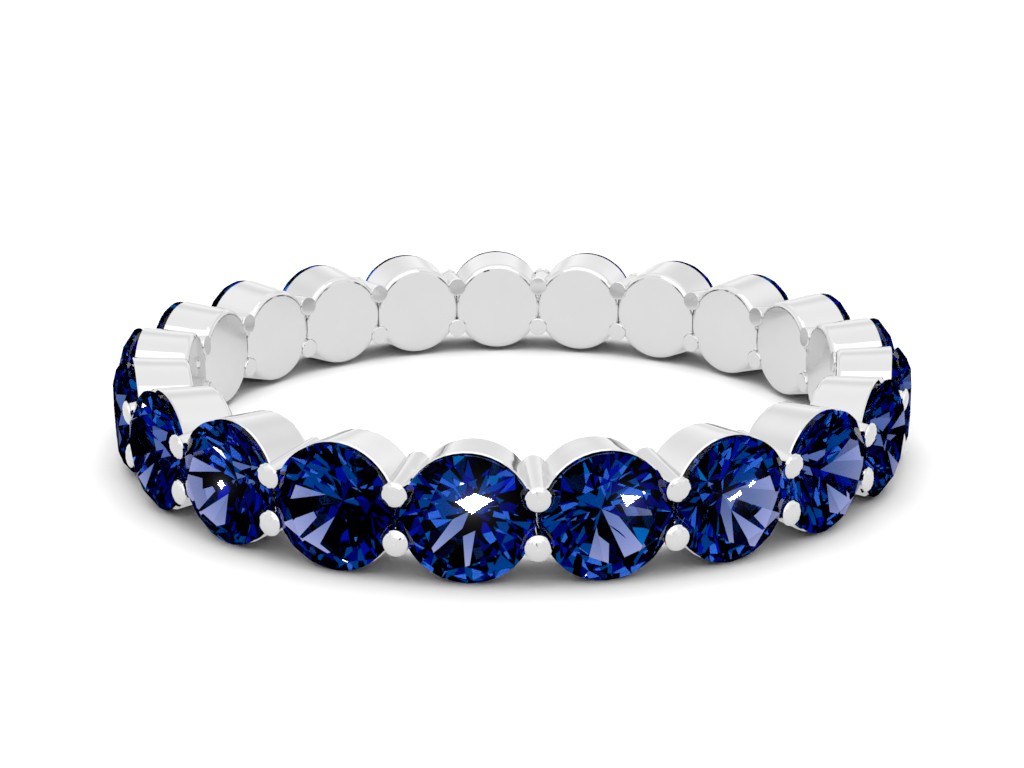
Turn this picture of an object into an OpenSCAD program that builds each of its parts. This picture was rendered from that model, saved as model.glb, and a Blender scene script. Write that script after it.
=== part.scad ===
// Eternity ring: equal round brilliants in closed cups, with round bars between the cups
// whose domed tips each hold two neighbouring stones. All sizes are in millimetres.
// The finger's axis is Z, and Z = 0 is the middle of the band. The first stone faces -Y.

/* [Finger hole] */
// Diameter of the circle that touches the flat back of every cup
finger_d = 17.35; // [15:0.05:21]

/* [Stones] */
// Number of stones round the finger
stone_count = 21; // [18:1:25]
// Gap between the girdles of two neighbouring stones
stone_gap = 0.14; // [0.08:0.005:0.25]
// Width of the table as a share of the stone's diameter
table_share = 0.65; // [0.55:0.01:0.7]
// Height of the crown, from the girdle to the table
crown_h = 0.305; // [0.2:0.005:0.4]
// Slope of the main facets below the girdle, in degrees
pavilion_slope = 40.75; // [38:0.25:43]
// Length of the star facets as a share of the way from the table to the girdle
star_share = 0.32; // [0.25:0.01:0.6]
// Length of the lower half facets as a share of the way from the girdle to the culet
lower_half_share = 0.76; // [0.65:0.01:0.85]
// Thickness of the girdle where it is thinnest
girdle_t = 0.02; // [0.01:0.005:0.06]

/* [Cups] */
// Thickness of the closed back, under the point of the stone
floor_t = 0.29; // [0.2:0.01:0.4]
// Thickness of the wall
wall_t = 0.3; // [0.2:0.01:0.4]
// Height of the middle of the girdle above the rim
girdle_rise = 0.19; // [0.12:0.01:0.26]
// Gap between the backs of two neighbouring cups
back_gap = 0.02; // [0.01:0.005:0.035]
// How far a cup's back is trimmed on each side to leave that gap
side_flat = 0.055; // [0.02:0.005:0.08]
// Gap between the rims of two neighbouring cups
rim_gap = 0.04; // [0.04:0.01:0.12]
// Radius of the rounded back edge
back_round = 0.16; // [0.08:0.01:0.2]
// Width of the bevel along the rim
rim_bevel = 0.03; // [0.01:0.005:0.06]
// Clearance between a stone and the metal round it
stone_clear = 0.015; // [0.01:0.005:0.03]

/* [Bars between the cups] */
// Diameter of a bar at its back end
bar_d = 0.58; // [0.48:0.01:0.68]
// Diameter of a bar's neck, just under its tip
neck_d = 0.5; // [0.44:0.01:0.58]
// Diameter of a bar's tip
tip_d = 0.62; // [0.54:0.01:0.68]
// Height of the dome of a tip
tip_h = 0.12; // [0.08:0.01:0.25]
// Distance between the middles of an upper and a lower bar, at their back ends
bar_spread = 1.36; // [1.2:0.02:1.5]
// Distance between the middles of an upper and a lower bar, where their domes begin
tip_spread = 1.12; // [1:0.02:1.3]
// Height of the domes' edge above the middle of the girdle
tip_rise = 0.22; // [0.14:0.01:0.28]
// Distance from the finger's circle to a bar's back end
bar_inset = 0.02; // [0:0.01:0.08]
// Radius of the rounded edge of a bar's back end
bar_round = 0.03; // [0.02:0.01:0.1]

/* [Hidden] */
// One full turn is shared equally by the stones
pitch = 360 / stone_count;
finger_r = finger_d / 2;
bar_r = bar_d / 2;
neck_r = neck_d / 2;
tip_r = tip_d / 2;

// The kites, the stars and the pairs of halves repeat eight times round a stone
fold = 8;
fold_angle = 360 / fold;
// Short sides that make up the round girdle between two of its corners
girdle_steps = 4;
girdle_sides = 2 * fold * girdle_steps;
// Bands that make up the rounded edges of a cup's back and of a bar's, and a bar's dome
cup_bands = 5;
bar_bands = 2;
dome_bands = 6;

// The room across one setting grows by this much on each side for each millimetre outwards
spread = tan(pitch / 2);

// Half the room across one setting at a radius from the finger's axis, less half of a gap
function half_room(radius, gap) = radius * spread - gap / 2 / cos(pitch / 2);

// The stones fill the circle: the lowest edges of their girdles leave the gap between them
pavilion_tan = tan(pavilion_slope);
floor_room = floor_t + stone_clear / cos(pavilion_slope);
stone_r = half_room(finger_r + floor_room, stone_gap) / (1 - spread * pavilion_tan);
table_r = table_share * stone_r;
crown_tan = crown_h / (stone_r - table_r);

// Corners between the stars and the upper halves, on the kites' planes
star_r = (table_r + star_share * (stone_r - table_r)) / cos(fold_angle / 2);
star_h = (stone_r - star_r * cos(fold_angle / 2)) * crown_tan;
// Corners between the main facets and the lower halves
lower_r = (1 - lower_half_share) * stone_r / cos(fold_angle / 2);
lower_h = -(stone_r - lower_r * cos(fold_angle / 2)) * pavilion_tan;

// Slopes of the upper and lower halves. The girdle is thicker where two of them meet,
// by this share of the stone's radius times their slope.
upper_half_tan = star_h / ((stone_r - star_r) * cos(fold_angle / 4));
lower_half_tan = -lower_h / ((stone_r - lower_r) * cos(fold_angle / 4));
dip_share = 1 - cos(fold_angle / 4);

// Heights of a stone, from the middle of its girdle
girdle_top = girdle_t / 2 + stone_r * dip_share * upper_half_tan;
girdle_bottom = -girdle_t / 2 - stone_r * dip_share * lower_half_tan;
culet_h = girdle_bottom - stone_r * pavilion_tan;
table_h = girdle_top + crown_h;

// Heights of a setting, measured outwards from the finger's circle
girdle_y = floor_room - culet_h;
rim_y = girdle_y - girdle_rise;

// The cup's outer wall runs straight from its back edge to its rim
back_r = half_room(finger_r + back_round, back_gap) + side_flat;
rim_r = half_room(finger_r + rim_y - rim_bevel, rim_gap);
wall_slope = atan((rim_r - back_r) / (rim_y - rim_bevel - back_round));

// The upper and the lower bar lean towards each other on their way outwards
bar_start = finger_r + bar_inset;
tip_start = finger_r + girdle_y + tip_rise;
bar_lean = atan((bar_spread - tip_spread) / 2 / (tip_start - bar_start));
bar_length = (tip_start - bar_start) / cos(bar_lean);

function two_digits(n) = n < 10 ? str("0", n) : str(n);
function stone_name(n) = str("stone_", two_digits(n));
stones = [for (n = [1 : stone_count]) stone_name(n)];

// Turns a shape so that its own Z points outwards, at an angle round the finger
module outwards(angle) {
    rotate([90, 0, angle])
        children();
}

// Corners of a stone, evenly spaced round its axis from the middle line of the first kite
function ring(radius, height, count, offset = 0) = [
    for (k = [0 : count - 1])
        let (a = (k + offset) * 360 / count)
        [radius * cos(a), radius * sin(a), height]
];

// How far the girdle's edge has sunk at a step, between the corners where two facets meet
function edge_dip(step, slope_tan) =
    let (off = (step % girdle_steps) / girdle_steps - 0.5)
    stone_r * (cos(off * fold_angle / 2) - cos(fold_angle / 4)) * slope_tan;

function girdle_edge(corner_h, slope_tan) = [
    for (s = [0 : girdle_sides - 1])
        let (a = s * 360 / girdle_sides)
        [stone_r * cos(a), stone_r * sin(a), corner_h - edge_dip(s, slope_tan)]
];

// A round brilliant with the middle of its girdle at the origin and its table upwards
module brilliant() {
    points = concat(
        ring(table_r, table_h, fold),
        ring(star_r, girdle_top + star_h, fold, 0.5),
        girdle_edge(girdle_top, upper_half_tan),
        girdle_edge(girdle_bottom, -lower_half_tan),
        ring(lower_r, girdle_bottom + lower_h, fold, 0.5),
        [[0, 0, culet_h]]
    );
    // Where each group of corners begins in that list
    star = fold;
    top = star + fold;
    bottom = top + girdle_sides;
    lower = bottom + girdle_sides;
    culet = lower + fold;
    half = girdle_steps;

    table_face = [[for (k = [fold - 1 : -1 : 0]) k]];
    star_faces = [for (k = [0 : fold - 1]) [k, (k + 1) % fold, star + k]];
    kite_faces = [
        for (k = [0 : fold - 1])
            [k, star + k, top + 2 * half * k, star + (k + fold - 1) % fold]
    ];
    upper_halves = [
        for (k = [0 : fold - 1], side = [0, 1])
            concat([star + k], [
                for (s = [half : -1 : 0])
                    top + (2 * half * k + side * half + s) % girdle_sides
            ])
    ];
    girdle_faces = [
        for (s = [0 : girdle_sides - 1])
            let (next = (s + 1) % girdle_sides)
            [top + s, top + next, bottom + next, bottom + s]
    ];
    lower_halves = [
        for (k = [0 : fold - 1], side = [0, 1])
            concat([lower + k], [
                for (s = [0 : half])
                    bottom + (2 * half * k + side * half + s) % girdle_sides
            ])
    ];
    main_faces = [
        for (k = [0 : fold - 1])
            [culet, lower + (k + fold - 1) % fold, bottom + 2 * half * k, lower + k]
    ];
    polyhedron(points, concat(table_face, star_faces, kite_faces, upper_halves,
        girdle_faces, lower_halves, main_faces));
}

module stone(index) {
    color("midnightblue")
        outwards(index * pitch)
            translate([0, 0, finger_r + girdle_y])
                brilliant();
}

// Points along an arc, from one angle to another
function arc(centre, radius, from, to, steps) = [
    for (k = [0 : steps])
        let (a = from + (to - from) * k / steps)
        centre + radius * [cos(a), sin(a)]
];

// A cup before it is trimmed: a flat back, a rounded back edge and a slightly flared wall
module cup_blank() {
    round_x = back_r - back_round / cos(wall_slope);
    rotate_extrude($fn = 96)
        polygon(concat(
            [[0, 0]],
            arc([round_x, back_round], back_round, -90, -wall_slope, cup_bands),
            [
                [rim_r, rim_y - rim_bevel],
                [rim_r - rim_bevel, rim_y],
                [0, rim_y]
            ]
        ));
}

// The room that one cup has between its two neighbours, seen along the finger's axis
module cup_room() {
    reach = finger_r + 2 * rim_y;
    linear_extrude(4 * rim_r, center = true)
        translate([0, -back_gap / 2 / sin(pitch / 2)])
            polygon([
                [0, 0],
                [-reach * sin(pitch / 2), -reach * cos(pitch / 2)],
                [reach * sin(pitch / 2), -reach * cos(pitch / 2)]
            ]);
}

module cup(index) {
    intersection() {
        outwards(index * pitch)
            translate([0, 0, finger_r])
                cup_blank();
        rotate(index * pitch)
            cup_room();
    }
}

// One bar from the finger outwards: a rounded back end, a neck, and a wider domed tip
module bar() {
    // The neck widens to the tip at 45 degrees
    neck_end = bar_length - (tip_r - neck_r);
    rotate_extrude($fn = 48)
        polygon(concat(
            [[0, 0]],
            arc([bar_r - bar_round, bar_round], bar_round, -90, 0, bar_bands),
            [[neck_r, neck_end]],
            [
                for (k = [0 : dome_bands])
                    let (a = 90 * k / dome_bands)
                    [tip_r * cos(a), bar_length + tip_h * sin(a)]
            ]
        ));
}

// The lower and the upper bar between one cup and the next
module bar_pair(index) {
    for (side = [-1, 1])
        outwards((index + 0.5) * pitch)
            translate([0, side * bar_spread / 2, bar_start])
                rotate([side * bar_lean, 0, 0])
                    bar();
}

// What is cut away for one stone: the hollow of the cup, its slanted seat, and the room
// that the girdle and the crown need beside the bars and under their tips
module stone_room(index) {
    side_r = stone_r + stone_clear;
    below = stone_clear / cos(pavilion_slope);
    above = stone_clear * sqrt(1 + crown_tan * crown_tan);
    // The hollow's wall follows the outer wall, and the seat ends where the two meet
    hollow_tan = tan(wall_slope);
    hollow_floor_r = back_r - wall_t + (floor_t - back_round) * hollow_tan;
    seat_base = girdle_y + girdle_bottom - below;
    seat_x = (hollow_floor_r + (seat_base - stone_r * pavilion_tan - floor_t) * hollow_tan)
        / (1 - pavilion_tan * hollow_tan);
    seat_y = seat_base - (stone_r - seat_x) * pavilion_tan;
    outwards(index * pitch)
        translate([0, 0, finger_r])
            rotate_extrude($fn = 96)
                polygon([
                    [0, floor_t],
                    [hollow_floor_r, floor_t],
                    [seat_x, seat_y],
                    [side_r, seat_base + stone_clear * pavilion_tan],
                    [side_r, girdle_y + girdle_top + above - stone_clear * crown_tan],
                    [table_r, girdle_y + table_h + above],
                    [0, girdle_y + table_h + above]
                ]);
}

// Cups and bars, soldered into one piece
module setting() {
    color("gainsboro")
        difference() {
            union() {
                for (i = [0 : stone_count - 1]) {
                    cup(i);
                    bar_pair(i);
                }
            }
            for (i = [0 : stone_count - 1])
                stone_room(i);
        }
}

setting();
for (i = [0 : stone_count - 1])
    stone(i);
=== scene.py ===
"""Looks of an eternity ring that lies on its side on a pale floor, in soft studio light."""

import math

import bpy
from mathutils import Euler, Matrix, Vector


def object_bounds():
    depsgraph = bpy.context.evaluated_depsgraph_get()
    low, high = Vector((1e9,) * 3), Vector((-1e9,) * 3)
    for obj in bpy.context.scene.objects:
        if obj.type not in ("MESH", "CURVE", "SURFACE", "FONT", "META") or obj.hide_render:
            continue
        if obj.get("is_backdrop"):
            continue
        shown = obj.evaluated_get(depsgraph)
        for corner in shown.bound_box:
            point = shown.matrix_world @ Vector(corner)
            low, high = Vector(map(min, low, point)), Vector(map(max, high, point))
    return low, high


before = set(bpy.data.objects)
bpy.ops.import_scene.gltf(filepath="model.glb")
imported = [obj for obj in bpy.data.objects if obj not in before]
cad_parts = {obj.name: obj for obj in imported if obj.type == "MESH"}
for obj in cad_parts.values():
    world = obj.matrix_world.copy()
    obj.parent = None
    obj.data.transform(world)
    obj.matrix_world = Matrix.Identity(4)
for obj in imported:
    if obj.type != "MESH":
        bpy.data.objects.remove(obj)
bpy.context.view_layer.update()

# Between two ray depths, which are whole numbers
HALF_STEP = 0.5

# Camera
CAMERA_PLACE = Vector((0.0043036, -0.0447952, 0.0135348))
CAMERA_TILT = math.radians(90 - 16.741)
CAMERA_TURN = math.radians(5.492)
CAMERA_LENS = 60.217
FILM_WIDTH = 36
NEAREST_SEEN = 0.001

# The photo, in pixels
PHOTO_WIDTH = 1024
PHOTO_HEIGHT = 768

# Metal. The scales count the noise's waves in a metre
METAL_DARK = (0.71, 0.71, 0.712, 1)
METAL_LIGHT = (0.75, 0.75, 0.752, 1)
LEAST_ROUGHNESS = 0.02
ROUGHNESS_SPREAD = 0.06
WEAR_SCALE = 900
WEAR_DETAIL = 4
POLISH_SCALE = 6000
POLISH_DETAIL = 3
POLISH_STRENGTH = 0.03
POLISH_HEIGHT = 0.00001
SMOOTH_BELOW = math.radians(28)
LARGE_FACES_FIRST = 100

# Stones
TINT_LOW = (0.7, 0.76, 1.0, 1)
TINT_HIGH = (0.9, 0.92, 1.0, 1)
ZONE_SCALE = 500
ZONE_DETAIL = 2
STONE_IOR = 1.77
STONE_MIRROR = 0.45
STONE_BLUE = (0.0, 0.3, 0.6, 1)
STONE_DENSITY = 1100

# Floor. Metal mirrors a darker floor with an even glow mixed in, so that its shadows stay weak there
FLOOR_SIZE = 2.0
FLOOR_GREY = 0.9
MIRRORED_GREY = 0.66
GLOW_GREY = 1.0
GLOW_SHARE = 0.6

# Sky behind the ring, and the one that lights it, from the horizon to overhead
BACKGROUND = 1.1
HORIZON_LIGHT = 0.08
OVERHEAD_LIGHT = 3.45
OVERHEAD_POWER = 3.0

# What the metal mirrors. Bands are places between the horizon and overhead, and their greys.
# Spots are azimuths, elevations and radii in degrees
METAL_BANDS = ((0.0, 1.05), (0.15, 0.93), (0.3, 1.15), (0.6, 0.95), (0.8, 1.15), (1.0, 1.1))
SOFT_PANEL = (0, 48, 38)
SOFT_PANEL_LIGHT = 1.5
DARK_SPOTS = ((-4, 6, 3.5), (6, 3, 1.5))
DARK_SPOT_LIGHT = 0.02

# What shows through the stones: the panels' scale and seed, their shares and colours, and small lamps
PALE_CELLS = (5, 5.1)
PALE_PANELS = ((0, (0, 0, 0)), (0.34, (0.62, 0.55, 0.7)), (0.6, (0.95, 0.8, 1.0)))
DEEP_CELLS = (4, 0.3)
DEEP_PANELS = (
    (0, (0, 0, 0)),
    (0.52, (0, 0.03, 0.6)),
    (0.68, (0, 0.75, 1.15)),
    (0.82, (0, 0.08, 1.4)),
    (0.92, (1.4, 2.2, 3.1)),
)
DEEP_FROM = 3.5
LAMPS = ((-3, -14, 1.5), (-2, 3, 1.2))
LAMP_LIGHT = (150, 50, 20, 1)
LAMP_DEPTH = 5

# Highlights on the stones' tables: a stone's number, and the corners where the photo shows them, in pixels
# from its left and its top, anticlockwise as seen from outside
HIGHLIGHTS = (
    (1, ((455, 502), (472, 514.5), (493.5, 500), (475, 493.5))),
    (2, ((620.5, 494.7), (627, 507), (641, 496))),
    (3, ((748.5, 485.5), (750.5, 487.2), (755.8, 482), (753.5, 480.3))),
    (3, ((727, 499.5), (731, 501.5), (742, 494), (740.5, 490.5))),
    (20, ((217.5, 484), (221, 489.5), (225.5, 485), (221, 479.5))),
)
HIGHLIGHT_LIGHT = 70

# Haze round the highlights
HAZE_FROM = 1.5
HAZE_LIMIT = 3
HAZE_STRENGTH = 0.3
HAZE_SIZE = 0.1


def grey(light):
    """A grey as a colour."""
    return (light, light, light, 1)


def feed(tree, socket, value):
    """Links a socket to another one, or sets it."""
    if isinstance(value, bpy.types.NodeSocket):
        tree.links.new(value, socket)
    else:
        socket.default_value = value


def number(tree, operation, *values):
    """A Math node on numbers and sockets."""
    node = tree.nodes.new("ShaderNodeMath")
    node.operation = operation
    for socket, value in zip(node.inputs, values):
        feed(tree, socket, value)
    return node.outputs[0]


def mixed(tree, share, low, high):
    """A colour between two, each a socket or a colour."""
    node = tree.nodes.new("ShaderNodeMix")
    node.data_type = "RGBA"
    node.clamp_result = False
    for socket, value in zip((node.inputs[0], node.inputs[6], node.inputs[7]), (share, low, high)):
        feed(tree, socket, value)
    return node.outputs[2]


def blended(tree, share, first, second):
    """A shader between two."""
    node = tree.nodes.new("ShaderNodeMixShader")
    for socket, value in zip(node.inputs, (share, first, second)):
        feed(tree, socket, value)
    return node.outputs[0]


def noise(tree, scale, detail):
    """A noise that is fixed to the piece."""
    node = tree.nodes.new("ShaderNodeTexNoise")
    node.inputs["Scale"].default_value = scale
    node.inputs["Detail"].default_value = detail
    feed(tree, node.inputs["Vector"], tree.nodes.new("ShaderNodeTexCoord").outputs["Object"])
    return node.outputs["Fac"]


def ramp(tree, value, stops, interpolation):
    """A colour that changes with a value from 0 to 1."""
    node = tree.nodes.new("ShaderNodeValToRGB")
    node.color_ramp.interpolation = interpolation
    elements = node.color_ramp.elements
    elements.remove(elements[-1])
    elements[0].color = (*stops[0][1], 1)
    for place, colour in stops[1:]:
        elements.new(place).color = (*colour, 1)
    feed(tree, node.inputs[0], value)
    return node.outputs[0]


def material(name):
    """A new material and its Principled shader."""
    made = bpy.data.materials.new(name)
    made.use_nodes = True
    return made, made.node_tree.nodes["Principled BSDF"]


def metal_material():
    """Polished white metal with a little wear."""
    made, shader = material("white_metal")
    tree = made.node_tree
    wear = noise(tree, WEAR_SCALE, WEAR_DETAIL)
    shader.inputs["Metallic"].default_value = 1
    feed(tree, shader.inputs["Base Color"], mixed(tree, wear, METAL_DARK, METAL_LIGHT))
    roughness = number(tree, "MULTIPLY_ADD", wear, ROUGHNESS_SPREAD, LEAST_ROUGHNESS)
    feed(tree, shader.inputs["Roughness"], roughness)
    bump = tree.nodes.new("ShaderNodeBump")
    bump.inputs["Strength"].default_value = POLISH_STRENGTH
    bump.inputs["Distance"].default_value = POLISH_HEIGHT
    feed(tree, bump.inputs["Height"], noise(tree, POLISH_SCALE, POLISH_DETAIL))
    feed(tree, shader.inputs["Normal"], bump.outputs["Normal"])
    return made


def stone_material():
    """Clear blue stone with faint zones of tint, which takes up light along its way."""
    made, shader = material("blue_stone")
    tree = made.node_tree
    zones = noise(tree, ZONE_SCALE, ZONE_DETAIL)
    feed(tree, shader.inputs["Base Color"], mixed(tree, zones, TINT_LOW, TINT_HIGH))
    shader.inputs["Roughness"].default_value = 0
    shader.inputs["IOR"].default_value = STONE_IOR
    shader.inputs["Transmission Weight"].default_value = 1
    shader.inputs["Specular Tint"].default_value = grey(STONE_MIRROR)
    absorption = tree.nodes.new("ShaderNodeVolumeAbsorption")
    absorption.inputs["Color"].default_value = STONE_BLUE
    absorption.inputs["Density"].default_value = STONE_DENSITY
    feed(tree, tree.nodes["Material Output"].inputs["Volume"], absorption.outputs[0])
    return made


def floor_material():
    """Plain matt white. The stones' sharp rays pass through it to the sky."""
    made, shader = material("floor")
    tree = made.node_tree
    ray = tree.nodes.new("ShaderNodeLightPath").outputs
    shader.inputs["Roughness"].default_value = 1
    shader.inputs["Specular IOR Level"].default_value = 0
    shade = mixed(tree, ray["Is Glossy Ray"], grey(FLOOR_GREY), grey(MIRRORED_GREY))
    feed(tree, shader.inputs["Base Color"], shade)
    glow = tree.nodes.new("ShaderNodeEmission")
    glow.inputs["Color"].default_value = grey(GLOW_GREY)
    unscattered = number(tree, "LESS_THAN", ray["Diffuse Depth"], HALF_STEP)
    share = number(tree, "MULTIPLY", unscattered, GLOW_SHARE)
    share = number(tree, "MULTIPLY", ray["Is Glossy Ray"], share)
    clear = tree.nodes.new("ShaderNodeBsdfTransparent")
    seen = blended(tree, share, shader.outputs[0], glow.outputs[0])
    seen = blended(tree, ray["Is Singular Ray"], seen, clear.outputs[0])
    feed(tree, tree.nodes["Material Output"].inputs["Surface"], seen)
    return made


def dress(node, made):
    """Gives a CAD node one material."""
    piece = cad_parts[node]
    piece.data.materials.clear()
    piece.data.materials.append(made)
    return piece


def smooth_rounds(piece):
    """Shades shallow angles between faces as round ones, and keeps large faces flat."""
    for polygon in piece.data.polygons:
        polygon.use_smooth = True
    piece.data.set_sharp_from_angle(angle=SMOOTH_BELOW)
    weighted = piece.modifiers.new("weighted normals", "WEIGHTED_NORMAL")
    weighted.keep_sharp = True
    weighted.weight = LARGE_FACES_FIRST


def setting():
    """The metal. Light on its way out of a stone doesn't meet it."""
    piece = dress("setting", metal_material())
    smooth_rounds(piece)
    piece.visible_transmission = False


def stones():
    """The stones, which share one material."""
    blue = stone_material()
    for name in stone_names():
        dress(name, blue)


def stone_names():
    """The CAD nodes that are stones."""
    return [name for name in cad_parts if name.startswith("stone_")]


def floor():
    """A floor under the ring."""
    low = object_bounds()[0]
    bpy.ops.mesh.primitive_plane_add(size=FLOOR_SIZE, location=(0, 0, low.z))
    piece = bpy.context.object
    piece.name = "floor"
    piece.data.materials.append(floor_material())
    piece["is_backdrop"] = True


def towards(azimuth, elevation):
    """A direction from its azimuth, from -Y, and its elevation, in degrees."""
    a, e = math.radians(azimuth), math.radians(elevation)
    return Vector((math.sin(a) * math.cos(e), -math.cos(a) * math.cos(e), math.sin(e)))


def beyond(tree, direction, axis, limit):
    """1 for directions whose share along an axis is over a limit."""
    dot = tree.nodes.new("ShaderNodeVectorMath")
    dot.operation = "DOT_PRODUCT"
    dot.inputs[1].default_value = axis
    tree.links.new(direction, dot.inputs[0])
    return number(tree, "GREATER_THAN", dot.outputs["Value"], limit)


def near(tree, direction, azimuth, elevation, radius):
    """1 for directions within a radius of the one given, in degrees."""
    return beyond(tree, direction, towards(azimuth, elevation), math.cos(math.radians(radius)))


def inside(tree, direction, corners):
    """1 for directions between corner directions that run anticlockwise, as seen from outside."""
    share = 1.0
    for here, ahead in zip(corners, corners[1:] + corners[:1]):
        share = number(tree, "MULTIPLY", beyond(tree, direction, here.cross(ahead).normalized(), 0), share)
    return share


def mirrored(stone, across, down):
    """The direction that a stone's table mirrors to the camera, at a pixel of the photo."""
    outward = towards((stone - 1) * 360 / len(stone_names()), 0)
    depth = PHOTO_WIDTH * CAMERA_LENS / FILM_WIDTH
    seen = Vector((across - PHOTO_WIDTH / 2, PHOTO_HEIGHT / 2 - down, -depth))
    seen.rotate(Euler((CAMERA_TILT, 0, CAMERA_TURN)))
    return seen.normalized().reflect(outward)


def highlight_sky(tree, direction):
    """What the stones' own faces mirror: small lamps in a dark room, where the tables show them."""
    sky = grey(0)
    for stone, corners in HIGHLIGHTS:
        lamp = inside(tree, direction, [mirrored(stone, *corner) for corner in corners])
        sky = mixed(tree, lamp, sky, grey(HIGHLIGHT_LIGHT))
    return sky


def cells(tree, direction, scale, seed):
    """A random number for each of the cells that the directions are cut into."""
    voronoi = tree.nodes.new("ShaderNodeTexVoronoi")
    voronoi.voronoi_dimensions = "4D"
    voronoi.inputs["Scale"].default_value = scale
    voronoi.inputs["W"].default_value = seed
    tree.links.new(direction, voronoi.inputs["Vector"])
    parts = tree.nodes.new("ShaderNodeSeparateColor")
    tree.links.new(voronoi.outputs["Color"], parts.inputs[0])
    return parts.outputs[0]


def stone_sky(tree, direction, depth):
    """What shows through the stones: panels in a dark room, paler where light crossed a stone once."""
    pale = ramp(tree, cells(tree, direction, *PALE_CELLS), PALE_PANELS, "CONSTANT")
    deep = ramp(tree, cells(tree, direction, *DEEP_CELLS), DEEP_PANELS, "CONSTANT")
    at_depth = number(tree, "COMPARE", depth, LAMP_DEPTH, HALF_STEP)
    for lamp in LAMPS:
        lit = number(tree, "MULTIPLY", near(tree, direction, *lamp), at_depth)
        deep = mixed(tree, lit, deep, LAMP_LIGHT)
    return mixed(tree, number(tree, "GREATER_THAN", depth, DEEP_FROM), pale, deep)


def metal_sky(tree, direction, height):
    """What the metal mirrors: bands from the horizon to overhead, a soft panel and small dark spots."""
    bands = [(place, (light, light, light)) for place, light in METAL_BANDS]
    sky = ramp(tree, height, bands, "EASE")
    sky = mixed(tree, near(tree, direction, *SOFT_PANEL), sky, grey(SOFT_PANEL_LIGHT))
    for spot in DARK_SPOTS:
        sky = mixed(tree, near(tree, direction, *spot), sky, grey(DARK_SPOT_LIGHT))
    return sky


def lighting_sky(tree, height):
    """What lights the floor: a soft light overhead."""
    share = number(tree, "POWER", number(tree, "MAXIMUM", height, 0.0), OVERHEAD_POWER)
    return mixed(tree, share, grey(HORIZON_LIGHT), grey(OVERHEAD_LIGHT))


def studio():
    """A sky for each kind of light: seen by the camera, lighting, mirrored by metal or stone, and bent."""
    world = bpy.data.worlds.new("studio")
    bpy.context.scene.world = world
    world.use_nodes = True
    world.cycles.sampling_method = "NONE"
    tree = world.node_tree
    direction = tree.nodes.new("ShaderNodeTexCoord").outputs["Generated"]
    axes = tree.nodes.new("ShaderNodeSeparateXYZ")
    tree.links.new(direction, axes.inputs[0])
    height = axes.outputs["Z"]
    ray = tree.nodes.new("ShaderNodeLightPath").outputs
    scattered = number(tree, "GREATER_THAN", ray["Diffuse Depth"], HALF_STEP)
    lighting = lighting_sky(tree, height)
    metal = mixed(tree, scattered, metal_sky(tree, direction, height), lighting)
    bent = mixed(tree, scattered, stone_sky(tree, direction, ray["Ray Depth"]), grey(0))
    sky = mixed(tree, ray["Is Diffuse Ray"], grey(BACKGROUND), lighting)
    sky = mixed(tree, ray["Is Glossy Ray"], sky, metal)
    sky = mixed(tree, ray["Is Singular Ray"], sky, highlight_sky(tree, direction))
    sky = mixed(tree, ray["Is Transmission Ray"], sky, bent)
    tree.links.new(sky, tree.nodes["Background"].inputs["Color"])


def camera():
    """The camera, at the photo's angle."""
    data = bpy.data.cameras.new("camera")
    made = bpy.data.objects.new("camera", data)
    bpy.context.scene.collection.objects.link(made)
    made.location = CAMERA_PLACE
    made.rotation_euler = (CAMERA_TILT, 0, CAMERA_TURN)
    data.lens = CAMERA_LENS
    data.clip_start = NEAREST_SEEN
    bpy.context.scene.camera = made


def render_settings():
    """Plain colours, no noise, and enough bounces for light's way through a stone."""
    scene = bpy.context.scene
    scene.view_settings.view_transform = "Standard"
    scene.cycles.use_denoising = True
    scene.cycles.max_bounces = 16
    scene.cycles.transmission_bounces = 14
    scene.cycles.glossy_bounces = 8
    scene.cycles.diffuse_bounces = 3
    scene.cycles.sample_clamp_indirect = 8


def haze():
    """A little haze round the brightest highlights."""
    scene = bpy.context.scene
    scene.use_nodes = True
    tree = scene.node_tree
    tree.nodes.clear()
    layers = tree.nodes.new("CompositorNodeRLayers")
    glare = tree.nodes.new("CompositorNodeGlare")
    glare.glare_type = "BLOOM"
    glare.inputs["Threshold"].default_value = HAZE_FROM
    glare.inputs["Clamp"].default_value = True
    glare.inputs["Maximum"].default_value = HAZE_LIMIT
    glare.inputs["Strength"].default_value = HAZE_STRENGTH
    glare.inputs["Size"].default_value = HAZE_SIZE
    composite = tree.nodes.new("CompositorNodeComposite")
    tree.links.new(layers.outputs["Image"], glare.inputs["Image"])
    tree.links.new(glare.outputs["Image"], composite.inputs["Image"])


camera()
studio()
floor()
setting()
stones()
render_settings()
haze()
